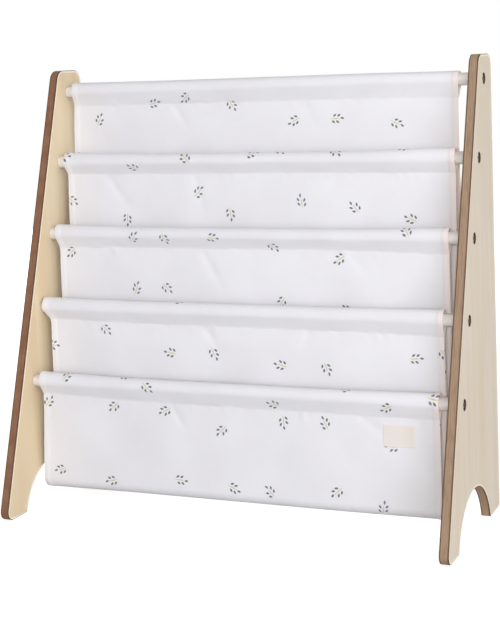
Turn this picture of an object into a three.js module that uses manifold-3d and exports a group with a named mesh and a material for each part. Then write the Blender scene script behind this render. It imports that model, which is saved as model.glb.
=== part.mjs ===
// A children's sling bookshelf: two plywood side panels held apart by five round dowels, and a cloth
// sling that loops over the dowels to make four book pockets.
// Millimetres. X runs from the left panel to the right one, Y from the front to the back, Z up.
// The origin is on the floor, under the middle of the object.
import * as THREE from 'three';
import { mergeVertices } from 'three/addons/utils/BufferGeometryUtils.js';
import Module from 'manifold-3d';

const wasm = await Module();
wasm.setup();

// Whole object
const overallWidth = 600;
const overallHeight = 580;
const touchGap = 0.3; // left between pieces that touch
const cutOverrun = 1; // how far a cutter runs past the face it cuts

// Side panels, seen from the side
const panelThickness = 12;
const panelFootDepth = 250; // at the floor, to the sharp corner that the front edge would have
const panelTopDepth = 60; // at the top, to the same kind of corner
const panelTopRadius = 20;
const footFrontRadius = 8;
const footBackRadius = 4;
const footDepth = 50; // from the foot's sharp corner to the arch
const archRise = 60;

// Dowels
const dowelDiameter = 16;
const dowelCount = 5;
const dowelPitch = 100; // along the slanted front edge
const dowelInset = 31; // square to the front edge
const topDowelDrop = 30; // from the top of the panels to the top dowel's axis
const dowelChamfer = 1;

// Bolts with a round head and a hexagon socket, sunk in the outer faces
const boltDiameter = 6;
const boltLength = 25; // under the head
const boltTipChamfer = 0.8;
const boltClearance = 0.3; // round the shank
const headDiameter = 12;
const headHeight = 3.5;
const headEdgeRadius = 0.8;
const headClearance = 0.5; // round the head
const headRecess = 1.5; // below the panel's outer face
const socketAcrossFlats = 4;
const socketDepth = 2.2;

// Threaded inserts in the dowels' ends
const insertLength = 15;
const insertWall = 1.2;
const insertChamfer = 0.5;
const boreBottomClearance = 2; // past the bolt's tip

// Cloth sling
const clothThickness = 1.2;
const sleeveThickness = 1.5; // doubled cloth round a dowel
const bareDowelLeft = 8.7; // dowel that shows between the panel and the cloth
const bareDowelRight = 18;
const seamBelowDowel = 11.5; // from the dowel's underside to the seam that closes a sleeve
const seamAllowance = 8; // the sleeve's tail below its seam
const lowestPocketClearance = 25; // from the floor to the lowest pocket

// Soft folds of the hanging cloth
const foldDepth = 1.5;
const broadFoldSpacing = 190;
const fineFoldSpacing = 105;
const fineFoldShare = 0.4;
const foldLeanTurns = 0.35; // how much of a wave a fold drifts sideways from the seam to the pocket's bottom
const foldPhaseTurns = 0.381966; // from one dowel to the next, so that no two layers match

// Label patch on the lowest pocket
const labelWidth = 40;
const labelHeight = 28;
const labelThickness = 0.5;
const labelFromEdge = 32; // from the cloth's right edge
const labelBelowSeam = 8;

// Numbers of facets
const arcSteps = 10;
const archSteps = 32;
const holeSteps = 24;
const dowelSteps = 20;
const boltSteps = 16;
const headEdgeSteps = 2;
const insertSteps = 12;
const clothColumns = 24;
const bendSteps = 8;
const frontLayerSteps = 3;
const backLayerSteps = 5;
const sleeveArcSteps = 14;
const labelColumns = 4;
const labelRows = 2;

// Colours from the real object
const birch = new THREE.MeshStandardMaterial({ color: 0xdccfb4, roughness: 0.55, metalness: 0 });
const paleWood = new THREE.MeshStandardMaterial({ color: 0xe6e2da, roughness: 0.5, metalness: 0 });
const nickelSteel = new THREE.MeshStandardMaterial({ color: 0xc9c6c0, roughness: 0.3, metalness: 1 });
const zincSteel = new THREE.MeshStandardMaterial({ color: 0xb5b3a8, roughness: 0.35, metalness: 1 });
const whiteCanvas = new THREE.MeshStandardMaterial({ color: 0xe9e7ea, roughness: 0.9, metalness: 0 });
const creamTwill = new THREE.MeshStandardMaterial({ color: 0xeae4d8, roughness: 0.85, metalness: 0 });

// Where the panels lie. A rounded foot reaches less far forward than its sharp corner, so the
// object's middle lies half of that difference further back.
const frontLean = Math.atan2(panelFootDepth - panelTopDepth, overallHeight);
const footCornerAngle = Math.PI / 2 - frontLean;
const roundedOff = footFrontRadius / Math.tan(footCornerAngle / 2) - footFrontRadius;
const backY = (panelFootDepth - roundedOff) / 2;
const frontCornerY = backY - panelFootDepth;
const outerX = overallWidth / 2;
const innerX = outerX - panelThickness;

// Axes of the dowels, the lowest first
const dowelRadius = dowelDiameter / 2;
const dowelAxes = Array.from({ length: dowelCount }, (_, index) => {
  const stepsDown = dowelCount - 1 - index;
  const z = overallHeight - topDowelDrop - stepsDown * dowelPitch * Math.cos(frontLean);
  return { y: frontCornerY + z * Math.tan(frontLean) + dowelInset / Math.cos(frontLean), z };
});

// The bolts' seats and how far they reach into the dowels
const headRadius = headDiameter / 2;
const boltRadius = boltDiameter / 2;
const counterboreRadius = headRadius + headClearance;
const counterboreDepth = headRecess + headHeight + touchGap;
const dowelEndX = innerX - touchGap;
const boltTipX = outerX - headRecess - headHeight - boltLength;
const insertRadius = boltRadius + boltClearance + insertWall;
const insertBoreRadius = insertRadius + touchGap;
const insertBoreDepth = insertLength + touchGap;
const boltBoreDepth = Math.max(dowelEndX - boltTipX + boreBottomClearance, insertBoreDepth + boreBottomClearance);

// The cloth's edges and the layers that hang from a dowel
const clothFromX = -innerX + bareDowelLeft;
const clothToX = innerX - bareDowelRight;
const seamDrop = dowelRadius + seamBelowDowel;
const tailHalf = sleeveThickness / 2;
const layerOffset = tailHalf + touchGap + clothThickness / 2;
const layerTopDrop = seamDrop + touchGap;
const pocketDrop = dowelAxes[0].z - lowestPocketClearance;

// Turns a geometry into a solid, and a solid back into a geometry.
function solidOf(geometry) {
  const bare = geometry.index ? geometry.toNonIndexed() : geometry.clone();
  bare.deleteAttribute('normal');
  bare.deleteAttribute('uv');
  const merged = mergeVertices(bare);
  const mesh = new wasm.Mesh({
    numProp: merged.attributes.position.itemSize,
    vertProperties: new Float32Array(merged.attributes.position.array),
    triVerts: new Uint32Array(merged.index.array),
  });
  return new wasm.Manifold(mesh);
}

function geometryOf(solid) {
  const mesh = solid.getMesh();
  const geometry = new THREE.BufferGeometry();
  geometry.setAttribute('position', new THREE.BufferAttribute(mesh.vertProperties, mesh.numProp));
  geometry.setIndex(new THREE.BufferAttribute(mesh.triVerts, 1));
  geometry.computeVertexNormals();
  return geometry;
}

// Points of an arc, its ends included.
function arcPoints(centreX, centreY, radius, from, to, steps) {
  return Array.from({ length: steps + 1 }, (_, step) => {
    const angle = THREE.MathUtils.lerp(from, to, step / steps);
    return new THREE.Vector2(centreX + radius * Math.cos(angle), centreY + radius * Math.sin(angle));
  });
}

// The arc that rounds the corner between two neighbours, running anticlockwise round a convex outline.
function roundedCorner(before, corner, after, radius) {
  const toBefore = before.clone().sub(corner).normalize();
  const toAfter = after.clone().sub(corner).normalize();
  const halfAngle = Math.acos(toBefore.dot(toAfter)) / 2;
  const centre = corner.clone().addScaledVector(
    toBefore.clone().add(toAfter).normalize(),
    radius / Math.sin(halfAngle),
  );
  const from = toBefore.angle() + Math.PI / 2;
  const sweep = Math.PI - 2 * halfAngle;
  return arcPoints(centre.x, centre.y, radius, from, from + sweep, arcSteps);
}

// Pushes an outline drawn in Y and Z along X, from one X to another.
function extrudeAlongX(outline, holes, fromX, toX) {
  const shape = new THREE.Shape(outline);
  shape.holes = holes.map((hole) => new THREE.Path(hole));
  const geometry = new THREE.ExtrudeGeometry(shape, { depth: toX - fromX, bevelEnabled: false });
  const axes = new THREE.Matrix4().makeBasis(
    new THREE.Vector3(0, 1, 0),
    new THREE.Vector3(0, 0, 1),
    new THREE.Vector3(1, 0, 0),
  );
  return geometry.applyMatrix4(axes).translate(fromX, 0, 0);
}

// Turns a profile of [radius, x] pairs about the X axis. The profile starts and ends on the axis,
// or closes on itself, and runs towards +X on the outside.
function turnAboutX(profile, steps) {
  const points = profile.map(([radius, x]) => new THREE.Vector2(radius, x));
  return new THREE.LatheGeometry(points, steps).rotateZ(-Math.PI / 2);
}

// Side panel, between the given faces
function panelOutline() {
  const bottomFront = new THREE.Vector2(frontCornerY, 0);
  const bottomBack = new THREE.Vector2(backY, 0);
  const topBack = new THREE.Vector2(backY, overallHeight);
  const topFront = new THREE.Vector2(backY - panelTopDepth, overallHeight);
  const archHalf = (panelFootDepth - 2 * footDepth) / 2;
  const archRadius = (archHalf ** 2 + archRise ** 2) / (2 * archRise);
  const archCentreZ = archRise - archRadius;
  const archStart = Math.atan2(-archCentreZ, archHalf);
  const archMiddleY = frontCornerY + panelFootDepth / 2;
  return [
    ...roundedCorner(topFront, bottomFront, bottomBack, footFrontRadius),
    ...arcPoints(archMiddleY, archCentreZ, archRadius, Math.PI - archStart, archStart, archSteps),
    ...roundedCorner(bottomFront, bottomBack, topBack, footBackRadius),
    ...roundedCorner(bottomBack, topBack, topFront, panelTopRadius),
    ...roundedCorner(topBack, topFront, bottomFront, panelTopRadius),
  ];
}

// A bolt's clearance hole and the counterbore for its head, opening towards +X
function boltHoleCutter() {
  return turnAboutX([
    [0, -panelThickness - cutOverrun],
    [boltRadius + boltClearance, -panelThickness - cutOverrun],
    [boltRadius + boltClearance, -counterboreDepth],
    [counterboreRadius, -counterboreDepth],
    [counterboreRadius, cutOverrun],
    [0, cutOverrun],
  ], holeSteps);
}

function panelGeometry() {
  let panel = solidOf(extrudeAlongX(panelOutline(), [], -panelThickness, 0));
  for (const { y, z } of dowelAxes) {
    panel = panel.subtract(solidOf(boltHoleCutter().translate(0, y, z)));
  }
  return geometryOf(panel);
}

// Dowel with chamfered ends, each bored for an insert and for the bolt's tip
function dowelEnd(x, towards) {
  const inward = -towards;
  return [
    [0, x + inward * boltBoreDepth],
    [boltRadius + boltClearance, x + inward * boltBoreDepth],
    [boltRadius + boltClearance, x + inward * insertBoreDepth],
    [insertBoreRadius, x + inward * insertBoreDepth],
    [insertBoreRadius, x],
    [dowelRadius - dowelChamfer, x],
    [dowelRadius, x + inward * dowelChamfer],
  ];
}

function dowelGeometry() {
  const profile = [...dowelEnd(-dowelEndX, -1), ...dowelEnd(dowelEndX, 1).reverse()];
  return geometryOf(solidOf(turnAboutX(profile, dowelSteps)));
}

// Bolt along X, its head's face at the origin and its tip towards -X
function boltGeometry() {
  const tip = -headHeight - boltLength;
  const headEdge = arcPoints(
    -headEdgeRadius, headRadius - headEdgeRadius, headEdgeRadius, Math.PI / 2, 0, headEdgeSteps,
  ).map((point) => [point.y, point.x]);
  const body = solidOf(turnAboutX([
    [0, tip],
    [boltRadius - boltTipChamfer, tip],
    [boltRadius, tip + boltTipChamfer],
    [boltRadius, -headHeight],
    [headRadius, -headHeight],
    ...headEdge,
    [0, 0],
  ], boltSteps));
  const socketRadius = socketAcrossFlats / 2 / Math.cos(Math.PI / 6);
  const socketLength = socketDepth + cutOverrun;
  const socket = new THREE.CylinderGeometry(socketRadius, socketRadius, socketLength, 6)
    .rotateZ(-Math.PI / 2)
    .translate(socketLength / 2 - socketDepth, 0, 0);
  return geometryOf(body.subtract(solidOf(socket)));
}

// Threaded insert along X, its outer end at the origin and its body towards -X
function insertGeometry() {
  const bore = boltRadius + boltClearance;
  return geometryOf(solidOf(turnAboutX([
    [bore, -insertLength],
    [insertRadius - insertChamfer, -insertLength],
    [insertRadius, -insertLength + insertChamfer],
    [insertRadius, -insertChamfer],
    [insertRadius - insertChamfer, 0],
    [bore, 0],
    [bore, -insertLength],
  ], insertSteps)));
}

// A drop-shaped loop round a dowel: most of a circle, and two straight sides that run down to the tip.
function dropOutline(radius, tipHalf, tipDrop) {
  const tipDistance = Math.hypot(tipHalf, tipDrop);
  const tipAngle = Math.atan2(-tipDrop, tipHalf);
  const touchAngle = tipAngle + Math.acos(radius / tipDistance);
  return arcPoints(0, 0, radius, touchAngle, Math.PI - touchAngle, sleeveArcSteps);
}

// Sleeve: the cloth round a dowel, with the tail that its seam leaves below it
function sleeveGeometry() {
  const innerRadius = dowelRadius + touchGap;
  const outer = [
    ...dropOutline(innerRadius + sleeveThickness, tailHalf, seamDrop),
    new THREE.Vector2(-tailHalf, -seamDrop),
    new THREE.Vector2(-tailHalf, -seamDrop - seamAllowance),
    new THREE.Vector2(tailHalf, -seamDrop - seamAllowance),
    new THREE.Vector2(tailHalf, -seamDrop),
  ];
  const innerTip = seamDrop - sleeveThickness;
  const inner = [...dropOutline(innerRadius, 0, innerTip), new THREE.Vector2(0, -innerTip)];
  return extrudeAlongX(outer, [inner], clothFromX, clothToX);
}

// How far a layer that hangs from a dowel is pushed back at x, where share runs from 0 at its seam
// to 1 at the pocket's bend.
function foldAt(x, dowelIndex, share) {
  const turns = dowelIndex * foldPhaseTurns + share * foldLeanTurns;
  const broad = Math.sin(2 * Math.PI * (x / broadFoldSpacing + turns));
  const fine = Math.sin(2 * Math.PI * (x / fineFoldSpacing - turns));
  const wave = broad * (1 - fineFoldShare) + fine * fineFoldShare;
  return foldDepth * Math.sin(Math.PI * share) * wave;
}

// Sheet that follows a path in Y and Z, as wide as from one X to another. Each point of the path has
// its place, the normal of the sheet's outer side there, and a function that gives its fold at an x.
function sheetGeometry(path, fromX, toX, columns, thickness) {
  const positions = [];
  for (const side of [1, -1]) {
    for (const { y, z, normalY, normalZ, fold } of path) {
      for (let column = 0; column <= columns; column += 1) {
        const x = THREE.MathUtils.lerp(fromX, toX, column / columns);
        const lift = side * thickness / 2;
        positions.push(x, y + normalY * lift + fold(x), z + normalZ * lift);
      }
    }
  }
  const perRow = columns + 1;
  const perSide = perRow * path.length;
  const indices = [];
  const quad = (a, b, c, d) => indices.push(a, b, c, a, c, d);
  for (let row = 0; row + 1 < path.length; row += 1) {
    for (let column = 0; column < columns; column += 1) {
      const corner = row * perRow + column;
      quad(corner, corner + perRow, corner + perRow + 1, corner + 1);
      quad(perSide + corner, perSide + corner + 1, perSide + corner + perRow + 1, perSide + corner + perRow);
    }
    const left = row * perRow;
    const right = left + columns;
    quad(left, perSide + left, perSide + left + perRow, left + perRow);
    quad(right, right + perRow, perSide + right + perRow, perSide + right);
  }
  for (let column = 0; column < columns; column += 1) {
    const last = (path.length - 1) * perRow + column;
    quad(column, column + 1, perSide + column + 1, perSide + column);
    quad(last, perSide + last, perSide + last + 1, last + 1);
  }
  const geometry = new THREE.BufferGeometry();
  geometry.setAttribute('position', new THREE.Float32BufferAttribute(positions, 3));
  geometry.setIndex(indices);
  geometry.computeVertexNormals();
  return geometry;
}

// Points of a straight layer hanging from a dowel, from one height to another, outer side towards facing.
function layerPath(y, fromZ, toZ, facing, dowelIndex, shareAt, steps) {
  return Array.from({ length: steps + 1 }, (_, step) => {
    const z = THREE.MathUtils.lerp(fromZ, toZ, step / steps);
    const share = shareAt(z);
    return { y, z, normalY: facing, normalZ: 0, fold: (x) => foldAt(x, dowelIndex, share) };
  });
}

// The heights between which a pocket's front layer hangs, and the share of the way down at a height
function frontLayer(index) {
  const { y, z } = dowelAxes[index];
  const next = dowelAxes[index + 1];
  const bendRadius = (next.y - y) / 2 - layerOffset;
  const topZ = z - layerTopDrop;
  const bendZ = z - pocketDrop + clothThickness / 2 + bendRadius;
  const shareAt = (height) => (topZ - height) / (topZ - bendZ);
  return { y: y + layerOffset, topZ, bendZ, bendRadius, shareAt };
}

// Pocket: down from the sleeve of its front dowel, round the bend and up to the sleeve behind
function pocketGeometry(index) {
  const front = frontLayer(index);
  const behind = dowelAxes[index + 1];
  const backTopZ = behind.z - layerTopDrop;
  const backShareAt = (height) => (backTopZ - height) / (backTopZ - front.bendZ);
  const bendY = front.y + front.bendRadius;
  const bend = arcPoints(bendY, front.bendZ, front.bendRadius, Math.PI, 2 * Math.PI, bendSteps)
    .slice(1, -1)
    .map((point) => ({
      y: point.x,
      z: point.y,
      normalY: (point.x - bendY) / front.bendRadius,
      normalZ: (point.y - front.bendZ) / front.bendRadius,
      fold: () => 0,
    }));
  const path = [
    ...layerPath(front.y, front.topZ, front.bendZ, -1, index, front.shareAt, frontLayerSteps),
    ...bend,
    ...layerPath(behind.y - layerOffset, front.bendZ, backTopZ, 1, index + 1, backShareAt, backLayerSteps),
  ];
  return sheetGeometry(path, clothFromX, clothToX, clothColumns, clothThickness);
}

// Label patch sewn flat on the front of the lowest pocket, following its folds
function labelGeometry() {
  const front = frontLayer(0);
  const y = front.y - clothThickness / 2 - touchGap - labelThickness / 2;
  const topZ = dowelAxes[0].z - seamDrop - labelBelowSeam;
  const path = layerPath(y, topZ, topZ - labelHeight, -1, 0, front.shareAt, labelRows);
  const toX = clothToX - labelFromEdge;
  return sheetGeometry(path, toX - labelWidth, toX, labelColumns, labelThickness);
}

function addPiece(group, name, geometry, material) {
  const mesh = new THREE.Mesh(geometry, material);
  mesh.name = name;
  group.add(mesh);
  return mesh;
}

const bookshelf = new THREE.Group();

// The panels and all that is fastened in them are made once for the right end, and the left end is
// the same set turned half round for the turned pieces and mirrored for the panel.
const rightPanel = panelGeometry();
const panelSolid = solidOf(rightPanel);
addPiece(bookshelf, 'side_panel_right', rightPanel, birch).position.x = outerX;
addPiece(bookshelf, 'side_panel_left', geometryOf(panelSolid.mirror([1, 0, 0])), birch).position.x = -outerX;

const dowel = dowelGeometry();
const bolt = boltGeometry();
const insert = insertGeometry();
const sleeve = sleeveGeometry();
dowelAxes.forEach(({ y, z }, index) => {
  const number = index + 1;
  addPiece(bookshelf, `dowel_${number}`, dowel, paleWood).position.set(0, y, z);
  addPiece(bookshelf, `sleeve_${number}`, sleeve, whiteCanvas).position.set(0, y, z);
  for (const [side, towards] of [['left', -1], ['right', 1]]) {
    const turn = towards > 0 ? 0 : Math.PI;
    const end = new THREE.Group();
    end.position.set(0, y, z);
    end.rotation.z = turn;
    addPiece(end, `bolt_${side}_${number}`, bolt, nickelSteel).position.x = outerX - headRecess;
    addPiece(end, `insert_${side}_${number}`, insert, zincSteel).position.x = dowelEndX;
    bookshelf.add(end);
  }
});

for (let index = 0; index + 1 < dowelCount; index += 1) {
  addPiece(bookshelf, `pocket_${index + 1}`, pocketGeometry(index), whiteCanvas);
}
addPiece(bookshelf, 'label_patch', labelGeometry(), creamTwill);

export default bookshelf;
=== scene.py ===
# Children's sling bookshelf: two plywood side panels, five round dowels and a printed canvas sling.
# Metres. X runs from the left panel to the right one, Y from the front to the back, Z up.
import math

import bmesh
import bpy
import numpy as np
from mathutils import Matrix, Vector, noise


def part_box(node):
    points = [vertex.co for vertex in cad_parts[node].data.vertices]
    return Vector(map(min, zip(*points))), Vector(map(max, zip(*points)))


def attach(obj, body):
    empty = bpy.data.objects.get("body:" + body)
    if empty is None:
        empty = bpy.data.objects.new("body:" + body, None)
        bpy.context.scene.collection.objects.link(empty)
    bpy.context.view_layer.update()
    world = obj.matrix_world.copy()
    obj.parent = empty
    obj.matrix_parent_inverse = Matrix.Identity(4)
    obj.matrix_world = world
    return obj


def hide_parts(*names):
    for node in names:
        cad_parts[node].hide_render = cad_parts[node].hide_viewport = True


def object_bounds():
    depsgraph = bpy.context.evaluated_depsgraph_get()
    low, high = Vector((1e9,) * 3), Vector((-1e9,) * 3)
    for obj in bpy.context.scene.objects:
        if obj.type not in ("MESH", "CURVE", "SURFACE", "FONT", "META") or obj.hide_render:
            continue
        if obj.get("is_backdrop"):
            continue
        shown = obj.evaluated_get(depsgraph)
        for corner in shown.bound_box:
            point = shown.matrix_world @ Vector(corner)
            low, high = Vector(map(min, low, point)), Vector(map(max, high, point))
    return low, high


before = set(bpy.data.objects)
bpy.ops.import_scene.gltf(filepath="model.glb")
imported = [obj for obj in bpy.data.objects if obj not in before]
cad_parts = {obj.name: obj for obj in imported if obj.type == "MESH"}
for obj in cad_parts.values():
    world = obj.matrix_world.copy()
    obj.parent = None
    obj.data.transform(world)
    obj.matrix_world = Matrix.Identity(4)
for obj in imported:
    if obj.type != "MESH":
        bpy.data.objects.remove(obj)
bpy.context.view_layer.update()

MM = 0.001
DOWELS = range(1, 6)
POCKETS = range(1, 5)
SIDES = ("left", "right")
ROOT = "root"


def mm(*values):
    """Some lengths in millimetres, as metres."""
    return [value * MM for value in values]


# Camera, at the photograph's viewing angle
CAMERA_PLACE = (0.7385, -1.6612, 0.5776)
CAMERA_YAW = math.radians(23.48)
CAMERA_PITCH = math.radians(6.495)
CAMERA_ROLL = math.radians(-2.28)
CAMERA_LENS = 83.07
CAMERA_SENSOR = 36.0
CAMERA_SHIFT_Y = -0.1332

# Studio: seen directly, the floor glows, more so farther out, where it is nearly as white as the world
FLOOR_HALF = 8.0
NEAR_FLOOR, FAR_FLOOR = 0.7, 2.6
NEAR_FLOOR_GLOW, FAR_FLOOR_GLOW = 0.76, 0.86
FLOOR_ROUGHNESS = 0.9
WORLD_LIGHT = 0.34

# Lamps, aimed at the middle of the shelf: watts, place and size. A broad one in front, a small one behind the
# camera, a weak one for the right panel's outer face, and one for the views from behind
LAMPS_AIM = Vector((0, 0, 0.3))
LAMPS = {
    "key light": (64.0, (2.2, -2.45, 1.1), 2.4),
    "fill light": (32.5, (0.98, -2.95, 0.85), 0.45),
    "side light": (10.0, (3.2, -0.8, 0.8), 2.4),
    "back light": (110.0, (-2.3, 2.4, 1.1), 2.4),
}

# Modelling: how near a vertex lies to a place that it is picked by, the least cosine by which a face counts
# as square to X, and the angles in degrees from which edges stay sharp
NEAR = 0.1 * MM
DOUBLES = 0.001 * MM
SQUARE_TO_X = 0.99
SHARP_FROM = 30
PANEL_SHARP_FROM = 15
LABEL_SHARP_FROM = 50
CLOTH_SHARP_FROM = 60
ARRIS_FROM = 40
ROUND_PROFILE = 0.5

# Side panels
FOOT_DEPTH = 250 * MM
TOP_DEPTH = 60 * MM
TOP_RADIUS = 16 * MM
FRONT_FOOT_RADIUS = 12 * MM
BACK_FOOT_RADIUS = 4 * MM
ARCH_WIDTH = 150 * MM
ARCH_RISE = 57.5 * MM
CORNER_STEPS = 16
ARCH_STEPS = 160
# The width of the painted highlight beside the cut edges
PAINTED_HIGHLIGHT_WIDTH = 3.2 * MM
ARRIS = 0.8 * MM
ARRIS_STEPS = 2
PLIES = 5
CUT_OVERRUN = 2 * MM
HOLE_STEPS = 48
COUNTERBORE_DIAMETER = 13 * MM
COUNTERBORE_DEPTH = 5.3 * MM
BOLT_HOLE_DIAMETER = 6.6 * MM

# Dowels
DOWEL_STEPS = 64
DOWEL_CHAMFER = 1 * MM
CHAMFER_STEPS = 3
INSERT_BORE_DIAMETER = 9.6 * MM
INSERT_BORE_DEPTH = 15.3 * MM
BOLT_BORE_DEPTH = 21.6 * MM

# Bolts
BOLT_STEPS = 48
BOLT_DIAMETER = 6 * MM
BOLT_TIP_CHAMFER = 0.8 * MM
HEAD_HEIGHT = 3.5 * MM
HEAD_EDGE = 1.4 * MM
HEAD_EDGE_STEPS = 5
SOCKET_SIDES = 6
SOCKET_ACROSS_FLATS = 4 * MM
SOCKET_DEPTH = 2.2 * MM

# Canvas sling
CANVAS = 0.9 * MM
HEM_THICKNESS = 1.5 * MM
HEM_WIDTH = 7 * MM
HEM_STEP = 0.5 * MM
HEM_COLUMN_SHARES = (0, 0.35, 0.7, 1)
SEAM_DROP = 19.5 * MM
SEAM_HALF = 0.75 * MM
LAYER_HALF = 1.65 * MM
LAYER_OPENS = 30 * MM
SLEEVE_RADIUS = 9.2 * MM
COLUMN_STEP = 2.6 * MM
POCKET_ROW_STEP = 2.4 * MM
SLEEVE_ROW_STEP = 1.3 * MM
SLEEVE_ARC_STEPS = 60
BEND_ARC_STEPS = 40

# The cloth's left and right edges, for each dowel from the lowest: round the dowel, at its seam, and where
# the layer that hangs from it ends. Below the dowel's axis they curve in over a short drop, then run straight
LEFT_AT_DOWEL = mm(-276.8, -284.8, -277.6, -276.6, -276.4)
LEFT_AT_SEAM = mm(-276.4, -276.6, -275.4, -274.6, -277.6)
LEFT_AT_HEM = mm(-283.0, -277.7, -277.5, -278.5, -286.0)
RIGHT_AT_DOWEL = mm(270.6, 269.6, 269.8, 271.9, 269.8)
RIGHT_AT_SEAM = mm(269.4, 268.6, 268.8, 270.9, 267.2)
RIGHT_AT_HEM = mm(269.0, 269.4, 268.6, 269.4, 268.8)
EDGE_CURVE = 27 * MM
CLOTH_WIDTH = RIGHT_AT_SEAM[0] - LEFT_AT_SEAM[0]

# How far each sleeve's stiff loop stands above its even round, and how far its seam and the lowest pocket's
# bend hang below their even places: at the cloth's left edge, in its middle and at its right edge
LOOP_RISE = [
    mm(2.8, 0.3, 2.6), mm(3.0, 1.6, 3.0), mm(3.0, 0.5, 2.8),
    mm(3.2, 0.4, 3.0), mm(2.7, 1.75, 0.8),
]
SEAM_SAG = [
    mm(-3.8, -0.2, 0.0), mm(-3.2, -0.8, 1.0), mm(-1.0, -2.4, 0.3),
    mm(-3.1, -2.4, -1.2), mm(-0.2, 0.8, 2.5),
]
LOWEST_BEND_SAG = mm(3.3, 2.4, 1.4)
ENDS_REACH = 150 * MM
RISE_STARTS = 4 * MM
SAG_FADES = 60 * MM

# Soft folds of the hanging cloth
FOLD_DEPTH = 1.5 * MM
BROAD_FOLD = 190 * MM
FINE_FOLD = 105 * MM
FINE_FOLD_SHARE = 0.4
FOLD_LEAN_TURNS = 0.35
FOLD_PHASE_TURNS = 0.381966

# Faint uneven waves, in the hanging layers and in the sleeves
RIPPLE = 0.35 * MM
RIPPLE_LENGTH = 38 * MM
RIPPLE_FULL_DROP = 45 * MM
RIPPLE_SEED = 0.5
BULGE = 0.7 * MM
BULGE_LENGTH = 52 * MM
BULGE_STRETCH = 0.4
BULGE_STARTS, BULGE_FULL = -2 * MM, 8 * MM
BULGE_ENDS = 5 * MM
BULGE_SEED = 5.5
SLEEVE_RIPPLE = 0.08 * MM
SLEEVE_RIPPLE_LENGTH = 14 * MM
SLEEVE_RIPPLE_SEED = 9.5

# Small puckers that the stitching draws into the cloth below a seam, and more weakly above it. The ranges are
# shares of their greatest reach, depth and width, and the lean is a share of their own reach
PUCKER_COUNT = 46
PUCKER_DEPTH = 0.42 * MM
PUCKER_WIDTH = 3.4 * MM
PUCKER_REACH = 20 * MM
PUCKER_REACHES = (0.35, 1.0)
PUCKER_LEANS = (-0.5, 0.5)
PUCKER_DEPTHS = (0.3, 1.0)
PUCKER_WIDTHS = (0.7, 1.6)
PUCKER_SEED = 40
PUCKER_ABOVE_SHARE = 0.7
PUCKER_ABOVE_SQUEEZE = 1.6

# Long creases in the layer that hangs from each dowel, from the lowest: where each starts and ends along X
# and below the axis, and its depth and width. Each swells and fades over shares of its length
CREASES = [
    [mm(-90, 20, -60, 66, 0.9, 5), mm(168, 20, 214, 54, 0.8, 6), mm(250, 21, 205, 74, 0.9, 7)],
    [mm(-50, 20, -22, 58, 1.0, 5), mm(96, 20, 76, 64, 0.7, 6)],
    [mm(-64, 20, -26, 84, 1.1, 6), mm(-196, 21, -228, 60, 0.8, 6), mm(140, 20, 176, 62, 0.7, 6)],
    [mm(-216, 20, -168, 80, 1.1, 6), mm(-84, 20, -68, 84, 1.0, 6), mm(120, 20, 92, 60, 0.6, 7)],
    [mm(-124, 21, -100, 60, 1.0, 5), mm(60, 20, 92, 74, 0.7, 7)],
]
CREASE_SWELLS = (-0.05, 0.12)
CREASE_FADES = (0.35, 1.0)

# Stitches
STITCH_LENGTH = 2.3 * MM
STITCH_PITCH = 3.1 * MM
STITCH_SIDES, STITCH_RINGS = 6, 4
STITCH_LOOKS_AHEAD = 0.5 * MM
THREAD = 0.5 * MM
HEM_SEAM_INSET = 5.6 * MM
SEAM_ROWS = (1, -2)
SEAM_COLUMNS = slice(2, -2)

# Label patch
LABEL_LEFT = 198 * MM
LABEL_WIDTH = 40 * MM
LABEL_HEIGHT = 28 * MM
LABEL_DROP = 29.3 * MM
LABEL_THICKNESS = 0.55 * MM
LABEL_GAP = 0.05 * MM
LABEL_ARRIS = 0.15 * MM
LABEL_STEP = 1 * MM
LABEL_STITCH_INSET = 1.6 * MM

# Print on the canvas: small sprigs, each a stem along X with two pairs of leaves and one at its tip
SPRIG_SPACING = 77 * MM
LEAF_LENGTH = 5.4 * MM
LEAF_WIDTH = 2.75 * MM
LEAF_PAIRS = mm(-2.7, 2.9)
LEAF_REACH = 4.2 * MM
LEAF_STAGGER = 0.9 * MM
LEAF_TURN = 0.62
TIP_LEAF_PLACE = (8.4 * MM, 0.5 * MM, 0.0)
TIP_LEAF_TURN = 0.14
STEM_PLACE = (-1.0 * MM, 0.0, 0.0)
STEM_LENGTH = 15 * MM
STEM_WIDTH = 1.5 * MM

# Grain, knots and weave
BIRCH_GRAIN = {"Streaks_per_metre": 34.0, "Stretch": 14.0}
HEART_GRAIN = {"Streaks_per_metre": 15.0, "Stretch": 30.0}
DOWEL_GRAIN = {"Streaks_per_metre": 120.0, "Stretch": 22.0}
FIBRES_PER_STREAK = 11.0
STREAK_HEIGHT, FIBRE_HEIGHT = 0.4, 0.6
# The heart streaks tint the inner faces more strongly, as part of their painted warm bounce light
HEART_SHARE, HEART_LESS_OUTSIDE = 0.62, 0.45
KNOTS_PER_METRE, KNOT_SQUEEZE = 11.0, 0.55
LASER_STREAKS_SQUEEZE = (4.0, 0.35, 0.35)
SLUB_SQUEEZE, SLUBS_PER_THREAD, SLUB_HEIGHT = 0.12, 0.6, 0.6
SPRIG_SCATTER = 0.62
LEAF_RIM_OUTSIDE, LEAF_RIM_INSIDE = 1.08, 0.86

# Depths of the finishes' relief, and how far from the middle ply the laser's burn starts and is full
BIRCH_RELIEF = 0.15 * MM
LASER_RELIEF = 0.2 * MM
DOWEL_RELIEF = 0.1 * MM
CANVAS_RELIEF = 0.12 * MM
LABEL_RELIEF = 0.1 * MM
THREAD_RELIEF = 0.05 * MM
BURN_STARTS, BURN_FULL = 3.7 * MM, 4.9 * MM

# Where the cloth starts to take on painted warm bounce light from the right panel, and where it has all of it
PAINTED_BOUNCE_STARTS_X, PAINTED_BOUNCE_FULL_X = 256 * MM, 278 * MM


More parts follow.
